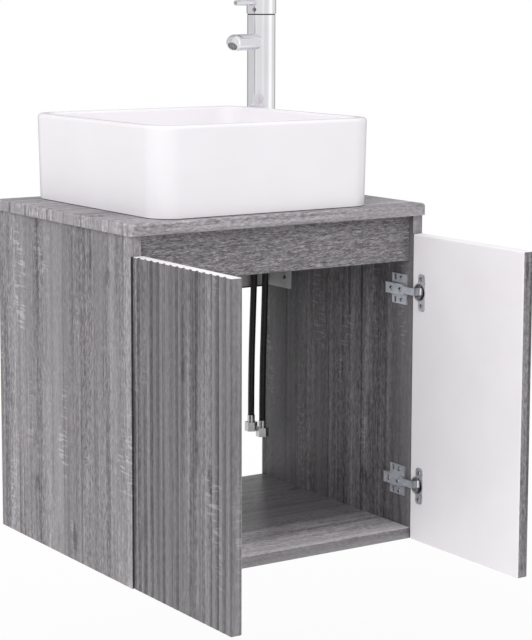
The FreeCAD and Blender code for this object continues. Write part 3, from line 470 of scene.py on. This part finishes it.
def door_material(side, seed):
    """Fluted wood film outside, smooth white inside and on the top and bottom edges."""
    recipe = Recipe(f"door_film_{side}", {"Specular IOR Level": FILM_SPECULAR})
    tone, fibres = wood_tone(recipe, "Z", seed, DOOR_FILM)
    hinge_edge = recipe.calc("SUBTRACT", door_high.y, recipe.part(recipe.place, "Y"))
    ribs = recipe.calc("ADD", recipe.calc("DIVIDE", hinge_edge, RIB_PITCH), 0.5)
    to_groove = recipe.calc("ABSOLUTE", recipe.calc("SUBTRACT", recipe.calc("FRACT", ribs), 0.5))
    facing = recipe.calc("MULTIPLY", recipe.part(recipe.normal, "X"), -1.0 if side == "right" else 1.0)
    fluted = recipe.spread(facing, *FLUTED_FACING)
    # Painted shade in the grooves, uneven along them, and painted light on the lips of the ribs.
    uneven = figure(recipe, UNEVEN_GROOVES, "Z", seed, *GROOVE_DEPTH)
    shaded = recipe.calc("MULTIPLY", recipe.spread(to_groove, *GROOVE_REACH), uneven)
    tone = recipe.calc("SUBTRACT", tone, recipe.calc("MULTIPLY", shaded, fluted))
    fall = recipe.spread(to_groove, *LIP_FALL, LIP_LIGHT, 0.0)
    lip = recipe.calc("MULTIPLY", recipe.spread(to_groove, *LIP_RISE), fall)
    tone = recipe.calc("ADD", tone, recipe.calc("MULTIPLY", lip, fluted))
    # The door's whole film carries its painted shade.
    film = wood_colour(recipe, tone, DOOR_SHADE)
    upright = recipe.calc("ABSOLUTE", recipe.part(recipe.normal, "Z"))
    white_inside = recipe.spread(facing, *WHITE_FACING)
    white = recipe.calc("MAXIMUM", white_inside, recipe.spread(upright, *WHITE_FACING))
    coating = recipe.two_tone(recipe.cloud(14), (240, 237, 240), (244, 241, 244))
    recipe.set("Base Color", recipe.mix(white, film, coating))
    recipe.set("Roughness", recipe.spread(white, 0.0, 1.0, *COATING_ROUGHNESS))
    recipe.bump(recipe.calc("MAXIMUM", fibres, white), 0.16, FIBRE_HEIGHT)
    return recipe.material


# Ceramic, metals, plastics and rubber

def ceramic_material():
    recipe = Recipe("glazed_ceramic", {"Coat Weight": 0.4, "Coat Roughness": 0.06})
    cloud = recipe.cloud(9, 3.0)
    recipe.set("Base Color", recipe.two_tone(cloud, (236, 233, 237), (240, 237, 241)))
    recipe.polish(cloud, 0.16, 0.24)
    recipe.bump(recipe.cloud(40), 0.05, 0.0006)
    return recipe.material


def metal_material(name):
    """Plated metal with a faint cloud in its colour and polish."""
    dark, light, smooth, dull, scale, metallic, _ = METALS[name]
    recipe = Recipe(name, {"Metallic": metallic})
    cloud = recipe.cloud(scale, 3.0, 0.55)
    recipe.set("Base Color", recipe.two_tone(cloud, dark, light))
    recipe.polish(cloud, smooth, dull)
    return recipe.material


def coated_material(name):
    """Paint, plastic, rubber or sealant with a fine grain."""
    dark, light, roughness, scale, relief, _ = COATINGS[name]
    recipe = Recipe(name)
    grain = recipe.cloud(scale, 3.0, 0.6)
    recipe.set("Base Color", recipe.two_tone(grain, dark, light))
    recipe.polish(grain, roughness - 0.05, roughness + 0.05)
    recipe.bump(grain, relief, 0.0002)
    return recipe.material


def column_material():
    """Chrome, with a dark ring painted in as the shadow in the seam under the head."""
    recipe = Recipe("column_chrome")
    cloud = recipe.cloud(CHROME_CLOUD)
    # Painted shadow: a dull, dark, unplated band of the column above the seam's height.
    ring = recipe.spread(recipe.part(recipe.place, "Z"), *SEAM_EDGE)
    recipe.set("Base Color", recipe.mix(ring, recipe.two_tone(cloud, *CHROME), shade(SEAM_SHADOW_COLOUR)))
    recipe.set("Metallic", recipe.calc("SUBTRACT", 1.0, ring))
    plated = recipe.spread(cloud, *CLOUD_RANGE, *CHROME_POLISH)
    recipe.set("Roughness", recipe.calc("ADD", plated, recipe.calc("MULTIPLY", ring, 0.5)))
    return recipe.material


def cup_material():
    """Nickel hinge cup: bright rim and wings, and an inside darkened by grease and by painted shade of the
    recess.
    """
    recipe = Recipe("hinge_cup_nickel", {"Metallic": 0.6})
    cloud = recipe.cloud(120)
    depth = recipe.calc("ABSOLUTE", recipe.part(recipe.place, "X"))
    # Painted shade of the recess, with grease, darkens the cup deeper in the door.
    inside = recipe.spread(depth, *[DOOR_FACE + sink for sink in CUP_INSIDE])
    bright = recipe.two_tone(cloud, (184, 184, 188), (200, 200, 204))
    recipe.set("Base Color", recipe.mix(inside, bright, shade((60, 58, 66))))
    recipe.polish(cloud, 0.24, 0.34)
    return recipe.material


def arm_material():
    """Nickel hinge arm, with painted light on the toe that stands in the shade of the cup."""
    recipe = Recipe("hinge_arm_nickel", {"Metallic": 0.5})
    cloud = recipe.cloud(90, 3.0, 0.55)
    depth = recipe.calc("ABSOLUTE", recipe.part(recipe.place, "X"))
    # Painted light on the toe, against the shade of the cup.
    toe = recipe.spread(depth, DOOR_FACE - TOE_START, DOOR_FACE)
    recipe.set("Base Color", recipe.mix(toe, recipe.two_tone(cloud, *NICKEL), shade((250, 250, 252))))
    recipe.polish(cloud, 0.26, 0.38)
    return recipe.material


def ribbed_metal_material():
    """Crimped sleeves: fine rings along the height."""
    recipe = Recipe("crimped_steel", {"Metallic": 1.0})
    height = recipe.part(recipe.place, "Z")
    rings = recipe.calc("SINE", recipe.calc("MULTIPLY", height, 2 * math.pi / CRIMP_PITCH))
    cloud = recipe.cloud(80, 3.0)
    recipe.set("Base Color", recipe.two_tone(cloud, 190, 205))
    recipe.polish(cloud, 0.22, 0.32)
    recipe.bump(rings, 0.5, 0.0004)
    return recipe.material


def hose_material():
    """Black jacket with fine threads along it."""
    recipe = Recipe("hose_jacket", {"Specular IOR Level": 0.4})
    threads = recipe.noise(recipe.stretched(700, 260), 2.0, 0.5)
    recipe.set("Base Color", recipe.ramp(threads, ((0.35, shade(24)), (0.65, shade(46)))))
    recipe.polish(threads, 0.38, 0.55)
    recipe.bump(threads, 0.4, 0.0003)
    return recipe.material


def dowel_material():
    recipe = Recipe("dowel_beech", {"Roughness": 0.7})
    flecks = recipe.noise(recipe.stretched(900, 60, "X"), 3.0, 0.6)
    recipe.set("Base Color", recipe.two_tone(flecks, (196, 160, 118), (222, 190, 150)))
    return recipe.material


def dot_material():
    """Warm half and cold half of the temperature dot."""
    low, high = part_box("tap_indicator")
    recipe = Recipe("temperature_dot", {"Roughness": 0.25})
    outward = recipe.vector_math("SUBTRACT", recipe.place, (low + high) / 2)["Vector"]
    aside = recipe.vector_math("DOT_PRODUCT", outward, SPOUT_SIDE)["Value"]
    cloud = recipe.cloud(500)
    warm = recipe.two_tone(cloud, (164, 118, 126), (178, 132, 140))
    cold = recipe.two_tone(cloud, (94, 91, 120), (108, 105, 134))
    recipe.set("Base Color", recipe.mix(recipe.spread(aside, -DOT_BLUR, DOT_BLUR), warm, cold))
    return recipe.material


def dress(material, *names):
    for name in names:
        mesh = nodes[name].data
        mesh.materials.clear()
        mesh.materials.append(material)


def dress_nodes():
    for node_name, (name, grain, seed, options) in BOARDS.items():
        dress(board_material(name, grain, seed, **options), node_name)
    for side, seed in zip(SIDES, DOOR_SEEDS):
        dress(door_material(side, seed), f"door_{side}")
    for hinge_part, material in (("cup", cup_material()), ("arm", arm_material())):
        dress(material, *[f"hinge_{hinge_part}_{hinge}" for hinge in HINGES])
    for table, make in ((METALS, metal_material), (COATINGS, coated_material)):
        for name, row in table.items():
            if row[-1]:
                dress(make(name), *row[-1])
    dress(ceramic_material(), "basin")
    dress(column_material(), "tap_column")
    dress(ribbed_metal_material(), "hose_ferrules")
    dress(dowel_material(), "dowels")
    dress(dot_material(), "tap_indicator")


# Screws with a crossed recess, in place of the plain ones

def islands(node_name):
    """Lowest and highest corner of each separate solid in a node, in order of the lowest corners."""
    work = bmesh.new()
    work.from_mesh(nodes[node_name].data)
    bmesh.ops.remove_doubles(work, verts=work.verts, dist=1e-6)
    boxes = []
    waiting = set(work.verts)
    while waiting:
        stack = [waiting.pop()]
        members = []
        while stack:
            vert = stack.pop()
            members.append(vert.co.copy())
            for edge in vert.link_edges:
                other = edge.other_vert(vert)
                if other in waiting:
                    waiting.remove(other)
                    stack.append(other)
        low = Vector(min(p[i] for p in members) for i in range(3))
        high = Vector(max(p[i] for p in members) for i in range(3))
        boxes.append((low, high))
    work.free()
    return sorted(boxes, key=lambda box: tuple(box[0]))


def finished(work, name):
    """The mesh of a bmesh, which is freed."""
    mesh = bpy.data.meshes.new(name)
    work.to_mesh(mesh)
    work.free()
    return mesh


def lathe(profile, segments):
    """A closed mesh turned about Z from (radius, height) points that start and end on the axis."""
    work = bmesh.new()
    rings = []
    for radius, height in profile:
        count = segments if radius > 0 else 1
        angles = [2 * math.pi * i / segments for i in range(count)]
        rings.append([work.verts.new((radius * math.cos(a), radius * math.sin(a), height)) for a in angles])
    for first, second in zip(rings, rings[1:]):
        for i in range(segments):
            j = (i + 1) % segments
            corners = [first[i % len(first)], first[j % len(first)],
                       second[j % len(second)], second[i % len(second)]]
            work.faces.new(list(dict.fromkeys(corners)))
    bmesh.ops.recalc_face_normals(work, faces=work.faces)
    return finished(work, "turned")


def block(size, centre):
    work = bmesh.new()
    bmesh.ops.create_cube(work, size=1.0, matrix=Matrix.Translation(centre) @ Matrix.Diagonal((*size, 1.0)))
    return finished(work, "block")


def placed(name, data):
    item = bpy.data.objects.new(name, data)
    bpy.context.scene.collection.objects.link(item)
    return item


def evaluated(item):
    """The mesh of an object with its modifiers applied; the object is removed."""
    bpy.context.view_layer.update()
    depsgraph = bpy.context.evaluated_depsgraph_get()
    mesh = bpy.data.meshes.new_from_object(item.evaluated_get(depsgraph))
    bpy.data.objects.remove(item)
    return mesh


def cross_screw(head_radius, shank_radius, shank_length):
    """A pan-head screw along Z whose seat is z = 0 and whose shank runs down."""
    top = SCREW_HEAD_HEIGHT
    profile = [(across * head_radius, up * top) for across, up in HEAD_OUTLINE]
    profile += [(shank_radius, 0), (shank_radius, -SHANK_STRAIGHT * shank_length), (0, -shank_length)]
    head = placed("screw_blank", lathe(profile, HEAD_SEGMENTS))
    length = RECESS_LENGTH * head_radius
    width = RECESS_WIDTH * head_radius
    cutters = []
    for size in ((length, width), (width, length)):
        cutter = placed("screw_cutter", block((*size, top), (0, 0, RECESS_LEVEL * top)))
        cutters.append(cutter)
        modifier = head.modifiers.new("recess", "BOOLEAN")
        modifier.operation = "DIFFERENCE"
        modifier.object = cutter
    mesh = evaluated(head)
    for cutter in cutters:
        bpy.data.objects.remove(cutter)
    return mesh


def screw_set(node_name, shank_diameter, body, material):
    """Every screw of a node in one mesh, heads turned to the middle of the cabinet."""
    work = bmesh.new()
    for number, (low, high) in enumerate(islands(node_name)):
        centre = (low + high) / 2
        inward = -math.copysign(1, centre.x)
        tip = low.x if inward > 0 else high.x
        seat = high.x - SCREW_HEAD_HEIGHT if inward > 0 else low.x + SCREW_HEAD_HEIGHT
        mesh = cross_screw((high.y - low.y) / 2, shank_diameter / 2, abs(tip - seat))
        turn = Matrix.Rotation(SCREW_TURN * number, 4, "Z")
        lean = Matrix.Rotation(inward * math.pi / 2, 4, "Y")
        mesh.transform(Matrix.Translation((seat, centre.y, centre.z)) @ lean @ turn)
        work.from_mesh(mesh)
        bpy.data.meshes.remove(mesh)
    joined = finished(work, f"{node_name}_crossed")
    joined.materials.append(material)
    item = placed(f"{node_name}_crossed", joined)
    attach(item, body)
    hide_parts(node_name)


def make_screws():
    material = metal_material("screw_steel")
    for node_name, (shank_diameter, body) in SCREWS.items():
        screw_set(node_name, shank_diameter, body, material)


# Hoses, in place of the plain tubes

def make_hoses():
    material = hose_material()
    axis = Vector(joints["tap_swivel"]["pos_m"])
    for name, (way, length, offsets) in HOSE_ROUTES.items():
        start = Vector((axis.x, axis.y, HOSE_TOP)) + SPOUT_SIDE * (way * HOSE_OFFSET)
        curve = bpy.data.curves.new(f"supply_hose_{name}", "CURVE")
        curve.dimensions = "3D"
        curve.bevel_depth = HOSE_DIAMETER / 2
        curve.bevel_resolution = 8
        curve.resolution_u = 16
        curve.use_fill_caps = True
        spline = curve.splines.new("NURBS")
        spline.points.add(len(offsets) - 1)
        for point, offset in zip(spline.points, offsets):
            point.co = (*(start + Vector(offset)), 1.0)
        spline.order_u = 3
        spline.use_endpoint_u = True
        curve.materials.append(material)
        hose = placed(f"supply_hose_{name}", curve)
        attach(hose, "cabinet")
        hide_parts(f"hose_{name}")


# Fine grille across the outlet

def make_grille():
    low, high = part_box("tap_aerator")
    mouth = (low + high) / 2 + OUTLET_WAY * (AERATOR_DEPTH / 2 - AERATOR_SINK)
    radius = AERATOR_MOUTH / 2
    work = bmesh.new()
    bmesh.ops.create_grid(work, x_segments=GRILLE_CELLS, y_segments=GRILLE_CELLS, size=radius)
    outside = [f for f in work.faces if f.calc_center_median().length > radius * GRILLE_REACH]
    bmesh.ops.delete(work, geom=outside, context="FACES")
    blank = placed("aerator_grille_blank", finished(work, "aerator_grille"))
    wires = blank.modifiers.new("wires", "WIREFRAME")
    wires.thickness = GRILLE_WIRE
    grille = placed("aerator_grille", evaluated(blank))
    grille.data.materials.append(coated_material("grille_steel"))
    grille.matrix_world = Matrix.Translation(mouth) @ OUTLET_WAY.to_track_quat("Z", "Y").to_matrix().to_4x4()
    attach(grille, "cabinet")


# Floor, light and camera

def make_floor():
    """A pale disc that fades into the white background at its rim."""
    work = bmesh.new()
    bmesh.ops.create_circle(work, cap_ends=True, segments=96, radius=FLOOR_RADIUS)
    floor = placed("floor", finished(work, "floor"))
    floor.location.z = cad_box[0][2] - FLOOR_DROP
    recipe = Recipe("pale_floor", {"Roughness": 0.9})
    recipe.set("Base Color", recipe.two_tone(recipe.cloud(3), 244, 248))
    path = recipe.add("ShaderNodeLightPath").outputs
    seen = recipe.calc("MAXIMUM", path["Is Camera Ray"], path["Is Glossy Ray"])
    seen = recipe.calc("MAXIMUM", seen, path["Is Transmission Ray"])
    distance = recipe.vector_math("LENGTH", recipe.place)["Value"]
    glow_share = recipe.spread(distance, *GLOW_REACH, *FLOOR_GLOW)
    glow = recipe.add("ShaderNodeEmission", {"Color": (1, 1, 1, 1), "Strength": 1.0})
    shaders = {1: recipe.shader.outputs[0], 2: glow.outputs[0]}
    blend = recipe.add("ShaderNodeMixShader", {0: recipe.calc("MULTIPLY", seen, glow_share), **shaders})
    recipe.feed(recipe.tree.nodes["Material Output"].inputs["Surface"], blend.outputs[0])
    floor.data.materials.append(recipe.material)


def make_world():
    """White behind the object, soft even light on it, and flags for polished metal."""
    world = bpy.data.worlds.new("studio")
    bpy.context.scene.world = world
    world.use_nodes = True
    writer = NodeWriter(world.node_tree)
    around = writer.add("ShaderNodeTexCoord").outputs["Generated"]
    way = writer.add("ShaderNodeSeparateXYZ", {0: around}).outputs
    turn = writer.calc("ARCTAN2", way[0], writer.calc("MULTIPLY", way[1], -1.0))
    flags = 0.0
    for middle, half, depth in FLAGS:
        off = writer.calc("SUBTRACT", turn, math.radians(middle))
        off = writer.calc("ABSOLUTE", writer.calc("WRAP", off, math.pi, -math.pi))
        blur = min(half / 2, FLAG_BLUR)
        start = math.radians(half + blur)
        full = math.radians(half - blur)
        flag = writer.spread(off, start, full, 0.0, depth, interpolation_type="SMOOTHSTEP")
        flags = writer.calc("ADD", flags, flag)
    path = writer.add("ShaderNodeLightPath").outputs
    reflected = writer.calc("SUBTRACT", 1.0, flags)
    light = writer.between(path["Is Glossy Ray"], WORLD_LEVEL, reflected)
    seen = writer.calc("MAXIMUM", path["Is Camera Ray"], path["Is Transmission Ray"])
    background = world.node_tree.nodes["Background"].inputs
    writer.feed(background["Color"], (1, 1, 1, 1))
    writer.feed(background["Strength"], writer.between(seen, light, 1.0))


def make_lamps():
    """Square lamps that look at the object and don't show in polished metal."""
    middle = sum((Vector(corner) for corner in cad_box), Vector()) / 2
    for name, (place, width, power) in LAMPS.items():
        lamp = bpy.data.lights.new(name, "AREA")
        lamp.shape = "SQUARE"
        lamp.size = width
        lamp.energy = power
        item = placed(name, lamp)
        item.location = place
        item.rotation_mode = "QUATERNION"
        item.rotation_quaternion = (middle - Vector(place)).to_track_quat("-Z", "Y")
        item.visible_glossy = False


def make_camera():
    data = bpy.data.cameras.new("photo_camera")
    data.sensor_width = CAMERA_SENSOR
    data.lens = CAMERA_LENS
    data.shift_x, data.shift_y = CAMERA_SHIFT
    camera = placed("photo_camera", data)
    camera.location = CAMERA_PLACE
    camera.rotation_euler = (math.pi / 2 - CAMERA_PITCH, 0, CAMERA_TURN)
    bpy.context.scene.camera = camera


make_camera()
make_hoses()
dress_nodes()
make_screws()
make_grille()
make_floor()
make_world()
make_lamps()
bpy.context.scene.view_settings.view_transform = "Standard"
